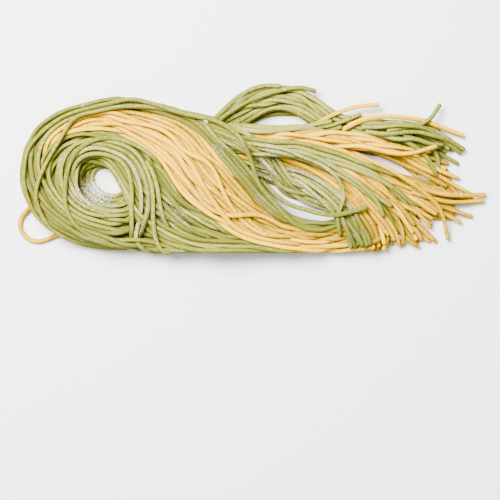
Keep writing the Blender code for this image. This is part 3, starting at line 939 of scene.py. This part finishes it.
def strand_sides(ahead):
    """Two directions across a strand at each of its rings, carried along it without a twist."""
    side = np.zeros_like(ahead)
    carried = np.array([0.0, 0.0, 1.0])
    for number, forward in enumerate(ahead):
        carried = carried - forward * carried.dot(forward)
        carried /= np.linalg.norm(carried)
        side[number] = carried
    return side, np.cross(ahead, side)


def strand_rings(strand, diameter, sides, step, draw):
    """The rings of a strand with their centres: a rounded square section, drawn in at both ends."""
    corner = np.linspace(0, 2 * math.pi, sides, endpoint=False)
    square = np.abs(np.cos(corner)) ** SQUARENESS + np.abs(np.sin(corner)) ** SQUARENESS
    square = square ** (-1 / SQUARENESS)
    route = smooth_route(without_kinks(strand.points, LAST_PASSES), step)
    count = len(route)
    ahead = np.gradient(route, axis=0)
    ahead /= np.linalg.norm(ahead, axis=1)[:, None]
    side, other = strand_sides(ahead)
    twist = draw.uniform(0, math.pi) + np.cumsum(draw.normal(0, TWIST_SPREAD, count))
    thick = diameter / 2 * draw.normal(1.0, THICKNESS_SPREAD)
    waver = draw.normal(0, THICKNESS_WAVER, count + WAVER_RINGS - 1)
    thick = thick * (1 + np.convolve(waver, np.ones(WAVER_RINGS) / WAVER_RINGS, "valid"))
    radius = (thick[:, None] * square[None, :])[:, :, None]
    turned = (corner[None, :] + twist[:, None])[:, :, None]
    across = np.cos(turned) * side[:, None, :] + np.sin(turned) * other[:, None, :]
    ring = route[:, None, :] + radius * across
    ring[:, :, 2] = np.maximum(ring[:, :, 2], LOWEST_POINT)
    tip = TIP_LENGTH * diameter
    lead = mix(ring[:1], route[:1, None, :], TIP_SHRINK) - ahead[:1, None, :] * tip
    tail = mix(ring[-1:], route[-1:, None, :], TIP_SHRINK) + ahead[-1:, None, :] * tip
    return np.concatenate([lead, ring, tail]), np.concatenate([route[:1], route, route[-1:]])


def tube_mesh(name, strands, diameter, sides, step, pile, draw):
    """One mesh of closed strands, with the marks that the dough reads: tone (with painted shade), up (for
    painted light) and dust.
    """
    vertices = []
    faces = []
    marks = []
    base = 0
    for strand in strands:
        ring, centre = strand_rings(strand, diameter, sides, step, draw)
        count = len(ring)
        spots = ring.reshape(-1, 3)
        vertices.append(spots)
        grid = np.arange(count * sides).reshape(count, sides) + base
        after = np.roll(grid, -1, axis=1)
        faces += np.stack([grid[:-1], after[:-1], after[1:], grid[1:]], -1).reshape(-1, 4).tolist()
        faces.append(grid[0, ::-1].tolist())
        faces.append(grid[-1].tolist())
        # How far each face points up: it paints light on the dough's tops and shade on its sides, and lays a
        # little more flour on top
        up = (ring[:, :, 2] - centre[:, None, 2]) / (diameter / 2)
        # Painted shade: the deeper a strand lies under the top of the pile, the darker its tone
        depth = depth_below(np.repeat(centre, sides, axis=0), *pile, PILE_CELL)
        deep = DEEP_SHADE * np.clip(depth - DEEP_FROM, 0, DEEP_RANGE)
        # The tone mark: the strand's own tone, plus patches that are partly painted shade and light, less the
        # painted shade of depth
        tone = strand.tone + patches_at(spots, TONE_AND_PAINTED_SHADE) - deep
        dust = patches_at(spots, FLOURED) + draw.normal(0, DUST_SPREAD)
        marks.append(np.stack([tone, up.ravel(), dust]))
        base += count * sides
    made = new_piece(name, np.vstack(vertices), faces)
    for mark, values in zip(("tone", "up", "dust"), np.concatenate(marks, axis=1)):
        layer = made.data.attributes.new(mark, "FLOAT", "POINT")
        layer.data.foreach_set("value", values.astype(np.float32))
    made.data.shade_smooth()
    made.data.set_sharp_from_angle(angle=SHARP_ANGLE)
    return made


def patches_at(points, patches):
    """The sum at each point of round patches that fade outwards."""
    total = np.zeros(len(points))
    for x, y, radius, amount in patches:
        away = (points[:, 0] + NEST_CENTRE[0] - x) ** 2 + (points[:, 1] + NEST_CENTRE[1] - y) ** 2
        total += amount * np.exp(-away / radius ** 2)
    return total


def new_piece(name, vertices, faces):
    """An object with a mesh whose vertices are given in millimetres."""
    mesh = bpy.data.meshes.new(name)
    mesh.from_pydata((np.asarray(vertices) * MM).tolist(), [], faces)
    mesh.update()
    made = bpy.data.objects.new(name, mesh)
    bpy.context.scene.collection.objects.link(made)
    return made


def crumb_shape(size, draw):
    """A small uneven lump, half sunk at its origin: two rings and two poles."""
    turn = draw.uniform(0, 2 * math.pi)
    rings = []
    for height, wide in CRUMB_RINGS:
        for corner in range(CRUMB_CORNERS):
            angle = turn + (corner + height) * 2 * math.pi / CRUMB_CORNERS
            reach = size * wide * draw.uniform(*CRUMB_UNEVEN)
            rings.append((reach * math.cos(angle), reach * math.sin(angle), size * height))
    bottom, top = ((0, 0, height * size) for height in CRUMB_POLES)
    lower = 1
    upper = lower + CRUMB_CORNERS
    sides = []
    for corner in range(CRUMB_CORNERS):
        after = (corner + 1) % CRUMB_CORNERS
        sides.append([0, lower + after, lower + corner])
        sides.append([lower + corner, lower + after, upper + after, upper + corner])
        sides.append([upper + corner, upper + after, upper + CRUMB_CORNERS])
    return np.array([bottom, *rings, top]), sides


def core_section(point_at, base_at, low, high):
    """A section of a core, with its top a little under the strands that lie on it."""
    section = []
    for share in CORE_SHARES:
        across = low + (high - low) * share
        section.append(in_frame(*point_at(across), max(CORE_LOWEST, base_at(across))))
    for across in (high, low):
        section.append(in_frame(*point_at(across), CORE_FOOT))
    return section


def loft(name, sections, closed):
    """One mesh through the sections, closed to a ring or capped at both ends."""
    count = len(sections[0])
    vertices = [corner for section in sections for corner in section]
    faces = []
    for number in range(len(sections) if closed else len(sections) - 1):
        here = number * count
        there = (number + 1) % len(sections) * count
        for corner in range(count):
            after = (corner + 1) % count
            faces.append((here + corner, here + after, there + after, there + corner))
    if not closed:
        faces.append(tuple(reversed(range(count))))
        faces.append(tuple(range(len(vertices) - count, len(vertices))))
    return new_piece(name, vertices, faces)


def node_material(name):
    """A new material with its shader, and short ways to add and link nodes."""
    material = bpy.data.materials.new(name)
    material.use_nodes = True
    tree = material.node_tree
    shader = tree.nodes["Principled BSDF"]

    def add(kind, **values):
        node = tree.nodes.new(kind)
        for key, value in values.items():
            if key in node.inputs:
                node.inputs[key].default_value = value
            else:
                setattr(node, key, value)
        return node

    return material, shader, add, tree.links.new


def ramp(add, link, source, stops):
    """Colours read off a ramp at the source's value."""
    node = add("ShaderNodeValToRGB")
    while len(node.color_ramp.elements) < len(stops):
        node.color_ramp.elements.new(0.5)
    for element, (position, colour) in zip(node.color_ramp.elements, stops):
        element.position = position
        element.color = (*colour[:3], 1.0)
    link(source, node.inputs["Fac"])
    return node.outputs["Color"]


def dusted(add, link, cover, below, colour):
    """The colour of a powder over what lies below it."""
    node = add("ShaderNodeMix", data_type="RGBA")
    under, over, mixed = node.inputs[6], node.inputs[7], node.outputs[2]
    link(cover, node.inputs["Factor"])
    link(below, under)
    over.default_value = (*colour, 1.0)
    return mixed


def bumped(add, link, shader, height, strength, distance):
    """Relief in the surface, from the source of its height."""
    node = add("ShaderNodeBump", Strength=strength, Distance=distance)
    link(height, node.inputs["Height"])
    link(node.outputs["Normal"], shader.inputs["Normal"])


def pasta_material(name, dark, middle, pale, flour_colour, flour_share, flour_from):
    """Fresh dough: tone by strand, mottled along it, painted light on top and painted shade on the sides, and
    flour on the upper faces.
    """
    material, shader, add, link = node_material(name)
    place = add("ShaderNodeTexCoord").outputs["Object"]

    def mark(name):
        return add("ShaderNodeAttribute", attribute_name=name).outputs["Fac"]

    def noise(scale, detail):
        node = add("ShaderNodeTexNoise", Scale=scale, Detail=detail, Roughness=NOISE_ROUGHNESS)
        link(place, node.inputs["Vector"])
        return node.outputs["Fac"]

    def total(start, *parts):
        """The start value plus each source times its factor."""
        for source, factor in parts:
            node = add("ShaderNodeMath", operation="MULTIPLY_ADD")
            link(source, node.inputs[0])
            node.inputs[1].default_value = factor
            if isinstance(start, float):
                node.inputs[2].default_value = start
            else:
                link(start, node.inputs[2])
            start = node.outputs[0]
        return start

    up = mark("up")
    grain = noise(*GRAIN_NOISE)
    patches = noise(*PATCH_NOISE)
    specks = noise(*SPECK_NOISE)
    # The value that picks the colour: own tone and mottling, painted light on the upper faces and painted
    # shade on the sides
    graded = total(
        DOUGH_START, (mark("tone"), OWN_TONE), (up, PAINTED_TOP_LIGHT), (patches, PATCHES), (specks, SPECKS))
    dough = ramp(add, link, graded, ((0.0, dark), (0.5, middle), (1.0, pale)))

    drifts = noise(*DRIFT_NOISE)
    powder = total(
        0.0, (noise(*POWDER_NOISE), 1.0), (drifts, DRIFTS), (mark("dust"), DUST), (up, UPPER_DUST))
    cover = add("ShaderNodeMapRange")
    cover.inputs["From Min"].default_value = flour_from
    cover.inputs["From Max"].default_value = flour_from + FLOUR_RANGE
    cover.inputs["To Max"].default_value = flour_share
    link(powder, cover.inputs["Value"])
    link(dusted(add, link, cover.outputs[0], dough, flour_colour), shader.inputs["Base Color"])

    rough = add("ShaderNodeMapRange")
    rough.inputs["To Min"].default_value, rough.inputs["To Max"].default_value = DOUGH_ROUGHNESS
    link(grain, rough.inputs["Value"])
    link(rough.outputs[0], shader.inputs["Roughness"])
    bumped(add, link, shader, grain, strength=0.35, distance=0.00018)
    shader.inputs["Specular IOR Level"].default_value = 0.0
    return material


def powder_material(name, colour):
    """Dry flour: near white, with soft grey mottling and a fine bump."""
    material, shader, add, link = node_material(name)
    place = add("ShaderNodeTexCoord").outputs["Object"]
    grain = add("ShaderNodeTexNoise", Scale=2200.0, Detail=3.0, Roughness=0.6)
    link(place, grain.inputs["Vector"])
    darker = [DARKER_FLOUR * part for part in colour]
    link(ramp(add, link, grain.outputs["Fac"], ((0.3, darker), (0.7, colour))), shader.inputs["Base Color"])
    bumped(add, link, shader, grain.outputs["Fac"], strength=0.4, distance=0.0001)
    shader.inputs["Roughness"].default_value = DRY_ROUGHNESS
    return material


def core_material(name, dark, pale):
    """The inside of the hank, coloured dark as painted shade: bands of strands that run unseen."""
    material, shader, add, link = node_material(name)
    place = add("ShaderNodeTexCoord").outputs["Object"]
    bands = add("ShaderNodeTexWave", Scale=70.0, Distortion=6.0, Detail=2.0)
    link(place, bands.inputs["Vector"])
    link(ramp(add, link, bands.outputs["Fac"], ((0.2, dark), (0.8, pale))), shader.inputs["Base Color"])
    bumped(add, link, shader, bands.outputs["Fac"], strength=0.6, distance=0.0005)
    shader.inputs["Roughness"].default_value = MATT_ROUGHNESS
    return material


def colour_property(name, description, default):
    return bpy.props.FloatVectorProperty(
        name=name, description=description, default=default, size=3, min=0.0, max=1.0, subtype="COLOR")


def length_property(name, description, default):
    return bpy.props.FloatProperty(
        name=name, description=description, default=default, min=0.0, unit="LENGTH")


class PastaStrandSettings(bpy.types.PropertyGroup):
    """Sizes and colours of the strands."""

    diameter: length_property("Diameter", "Thickness of a strand", 0.0022)
    sides: bpy.props.IntProperty(name="Sides", description="Sides of a strand's section", default=8, min=5)
    step: length_property("Ring spacing", "Distance between the rings of a strand", 0.0019)
    spread: bpy.props.FloatProperty(
        name="Spread", description="Distance between strands that touch, in diameters", default=1.06, min=1.0)
    rounds: bpy.props.IntProperty(
        name="Settling rounds", description="Rounds of settling", default=150, min=0)
    # The dark and pale ends of each dough also give the painted shade on strands' sides and deep in the pile,
    # and the painted light on their tops
    green_dark: colour_property("Green, dark", "Spinach dough in its darkest strands", (0.135, 0.138, 0.02))
    green_middle: colour_property("Green", "Spinach dough", (0.163, 0.163, 0.017))
    green_pale: colour_property("Green, pale", "Spinach dough in its palest strands", (0.305, 0.3, 0.062))
    yellow_dark: colour_property("Yellow, dark", "Egg dough in its darkest strands", (0.28, 0.175, 0.001))
    yellow_middle: colour_property("Yellow", "Egg dough", (0.60, 0.32, 0.0005))
    yellow_pale: colour_property("Yellow, pale", "Egg dough in its palest strands", (0.90, 0.515, 0.001))


class PastaFlourSettings(bpy.types.PropertyGroup):
    """Amount and colour of the flour."""

    colour: colour_property("Flour", "Colour of dry flour", (0.90, 0.87, 0.80))
    crumbs: bpy.props.IntProperty(name="Crumbs", description="Number of crumbs of flour", default=1500, min=0)
    dusting: bpy.props.FloatProperty(
        name="Dusting", description="How much the flour hides the dough", default=0.5, min=0.0, max=1.0,
        subtype="FACTOR")


class PastaStageSettings(bpy.types.PropertyGroup):
    """Floor, light and camera."""

    floor: colour_property("Floor", "Colour of the pale floor", (0.92, 0.92, 0.91))
    light: bpy.props.FloatProperty(
        name="Light", description="Power of the soft box", default=52.0, unit="POWER")
    sky: bpy.props.FloatProperty(
        name="Sky", description="Strength of the light all round", default=0.95, min=0.0)
    camera_height: length_property("Camera height", "Camera above the floor", 0.8)


class PASTA_OT_core(bpy.types.Operator):
    """Make the core under the strands, coloured dark as painted shade"""

    bl_idname = "pasta.core"
    bl_label = "Core"

    def execute(self, context):
        coil = []
        for step in range(COIL_CORE_STEPS):
            degrees = -360 * step / COIL_CORE_STEPS
            coil.append(core_section(
                lambda s: coil_point(s, degrees), lambda s: COIL_CORE_HEIGHT, *COIL_CORE))
        sweep = []
        for station in range(SWEEP_CORE_STATIONS):
            sweep.append(core_section(
                lambda s: net_point(SWEEP, station, s),
                lambda s: max(SWEEP_CORE_LOWEST, hidden_flow(station, s) - SWEEP_CORE_DROP), *SWEEP_CORE))
        brush = []
        for number, station in enumerate(BRUSH_CORE_STATIONS):
            brush.append(core_section(
                lambda s: net_point(BRUSH, station, s),
                lambda s: max(BRUSH_CORE_LOWEST, hidden_root(number, s) - BRUSH_CORE_DROP), *BRUSH_CORE))
        material = core_material("pasta painted in shade", CORE_PAINTED_SHADE_DARK, CORE_PAINTED_SHADE_PALE)
        for name, sections, closed in (
                ("coil_core", coil, True), ("sweep_core", sweep, False), ("brush_core", brush, False)):
            piece = loft(name, sections, closed)
            piece.data.materials.append(material)
            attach(piece, BODY)
            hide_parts(NODE)
        return {"FINISHED"}


class PASTA_OT_strands(bpy.types.Operator):
    """Lay the green and yellow strands and let them settle"""

    bl_idname = "pasta.strands"
    bl_label = "Strands"

    def execute(self, context):
        look = context.scene.pasta_strands
        flour = context.scene.pasta_flour
        diameter = look.diameter / MM
        strands = lay_strands()
        settle(strands, diameter * look.spread, look.rounds)
        pile = height_map(strands, PILE_CELL)
        draw = np.random.default_rng(SEED + 1)
        finishes = {
            "green": ("spinach_pasta", look.green_dark, look.green_middle, look.green_pale),
            "yellow": ("egg_pasta", look.yellow_dark, look.yellow_middle, look.yellow_pale),
        }
        for colour, (slot, dark, middle, pale) in finishes.items():
            same = [strand for strand in strands if strand.colour == colour]
            piece = tube_mesh(colour + "_strands", same, diameter, look.sides, look.step / MM, pile, draw)
            piece.data.materials.append(pasta_material(
                colour + " dough", dark, middle, pale, flour.colour,
                flour.dusting * FLOUR_SHARE[colour], FLOUR_FROM[colour]))
            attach(piece, BODY)
            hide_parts(NODE)
        return {"FINISHED"}


class PASTA_OT_flour(bpy.types.Operator):
    """Scatter crumbs and clumps of flour over the strands and in the eye"""

    bl_idname = "pasta.flour"
    bl_label = "Flour"

    def execute(self, context):
        look = context.scene.pasta_flour
        draw = np.random.default_rng(SEED + 2)
        depsgraph = context.evaluated_depsgraph_get()
        low, high = CAD_BOX
        vertices = []
        faces = []
        tries = 0
        while len(vertices) < look.crumbs and tries < TRIES * look.crumbs:
            tries += 1
            # Every second one is for the clumps in the eye
            clumped = tries % 2 == 0
            if clumped:
                x, y = (EYE_CENTRE[k] + CLUMP_SHIFT + draw.normal(0, CLUMP_REACH[k]) for k in (0, 1))
            else:
                x, y = (draw.uniform(low[k], high[k]) / MM for k in (0, 1))
            here = np.array([in_frame(x, y, 0.0)])
            if not clumped and draw.random() > BARE_CHANCE + patches_at(here, FLOURED)[0]:
                continue
            start = Vector((here[0, 0] * MM, here[0, 1] * MM, DROP_HEIGHT))
            hit, place, _, _, owner, _ = context.scene.ray_cast(depsgraph, start, Vector((0, 0, -1)))
            if not hit or (owner.name == "floor" and not clumped):
                continue
            size = draw.uniform(*CRUMB_SIZES) * (CLUMP_SIZE if clumped else 1.0)
            crumb, sides = crumb_shape(size, draw)
            vertices.append(crumb + np.array(place) / MM)
            faces += [[corner + (len(vertices) - 1) * len(crumb) for corner in side] for side in sides]
        piece = new_piece("flour", np.vstack(vertices), faces)
        piece.data.shade_smooth()
        piece.data.materials.append(powder_material("dry flour", look.colour))
        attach(piece, BODY)
        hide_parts(NODE)
        return {"FINISHED"}


class PASTA_OT_stage(bpy.types.Operator):
    """Make the floor, the soft light and the camera"""

    bl_idname = "pasta.stage"
    bl_label = "Stage"

    def execute(self, context):
        stage = context.scene.pasta_stage
        corners = [(x * FLOOR_REACH, y * FLOOR_REACH, 0) for x, y in ((-1, -1), (1, -1), (1, 1), (-1, 1))]
        floor = new_piece("floor", corners, [(0, 1, 2, 3)])
        material, shader, *_ = node_material("pale board")
        shader.inputs["Base Color"].default_value = (*stage.floor, 1.0)
        shader.inputs["Roughness"].default_value = MATT_ROUGHNESS
        floor.data.materials.append(material)

        world = bpy.data.worlds.new("soft studio")
        world.use_nodes = True
        background = world.node_tree.nodes["Background"]
        background.inputs["Color"].default_value = (1.0, 1.0, 1.0, 1.0)
        background.inputs["Strength"].default_value = stage.sky
        context.scene.world = world

        lamp = bpy.data.lights.new("soft box", "AREA")
        lamp.energy = stage.light
        lamp.size = LAMP_SIZE
        box = bpy.data.objects.new("soft box", lamp)
        box.location = LAMP_PLACE
        box.rotation_euler = (-box.location).to_track_quat("-Z", "Y").to_euler()
        context.scene.collection.objects.link(box)

        view = bpy.data.cameras.new("camera")
        view.sensor_width = SENSOR_WIDTH
        view.lens = SENSOR_WIDTH * (stage.camera_height / MM - FRAME_HEIGHT) / FRAME_WIDTH
        camera = bpy.data.objects.new("camera", view)
        camera.location = (*CAMERA_PLACE, stage.camera_height)
        context.scene.collection.objects.link(camera)
        context.scene.camera = camera
        return {"FINISHED"}


class PASTA_PT_nest(bpy.types.Panel):
    """Settings and steps of the pasta nest"""

    bl_label = "Pasta nest"
    bl_space_type = "VIEW_3D"
    bl_region_type = "UI"
    bl_category = "Pasta nest"

    def draw(self, context):
        for operator in OPERATORS:
            self.layout.operator(operator.bl_idname)
        for name in GROUPS:
            settings = getattr(context.scene, name)
            box = self.layout.box()
            for key in settings.__annotations__:
                box.prop(settings, key)


GROUPS = {
    "pasta_strands": PastaStrandSettings,
    "pasta_flour": PastaFlourSettings,
    "pasta_stage": PastaStageSettings,
}
OPERATORS = (PASTA_OT_stage, PASTA_OT_core, PASTA_OT_strands, PASTA_OT_flour)


def register():
    for cls in (*GROUPS.values(), *OPERATORS, PASTA_PT_nest):
        bpy.utils.register_class(cls)
    for name, group in GROUPS.items():
        setattr(bpy.types.Scene, name, bpy.props.PointerProperty(type=group))


def unregister():
    for name in GROUPS:
        delattr(bpy.types.Scene, name)
    for cls in reversed((*GROUPS.values(), *OPERATORS, PASTA_PT_nest)):
        bpy.utils.unregister_class(cls)


def main():
    register()
    bpy.ops.pasta.stage()
    bpy.ops.pasta.core()
    bpy.ops.pasta.strands()
    bpy.ops.pasta.flour()


if __name__ == "__main__":
    main()
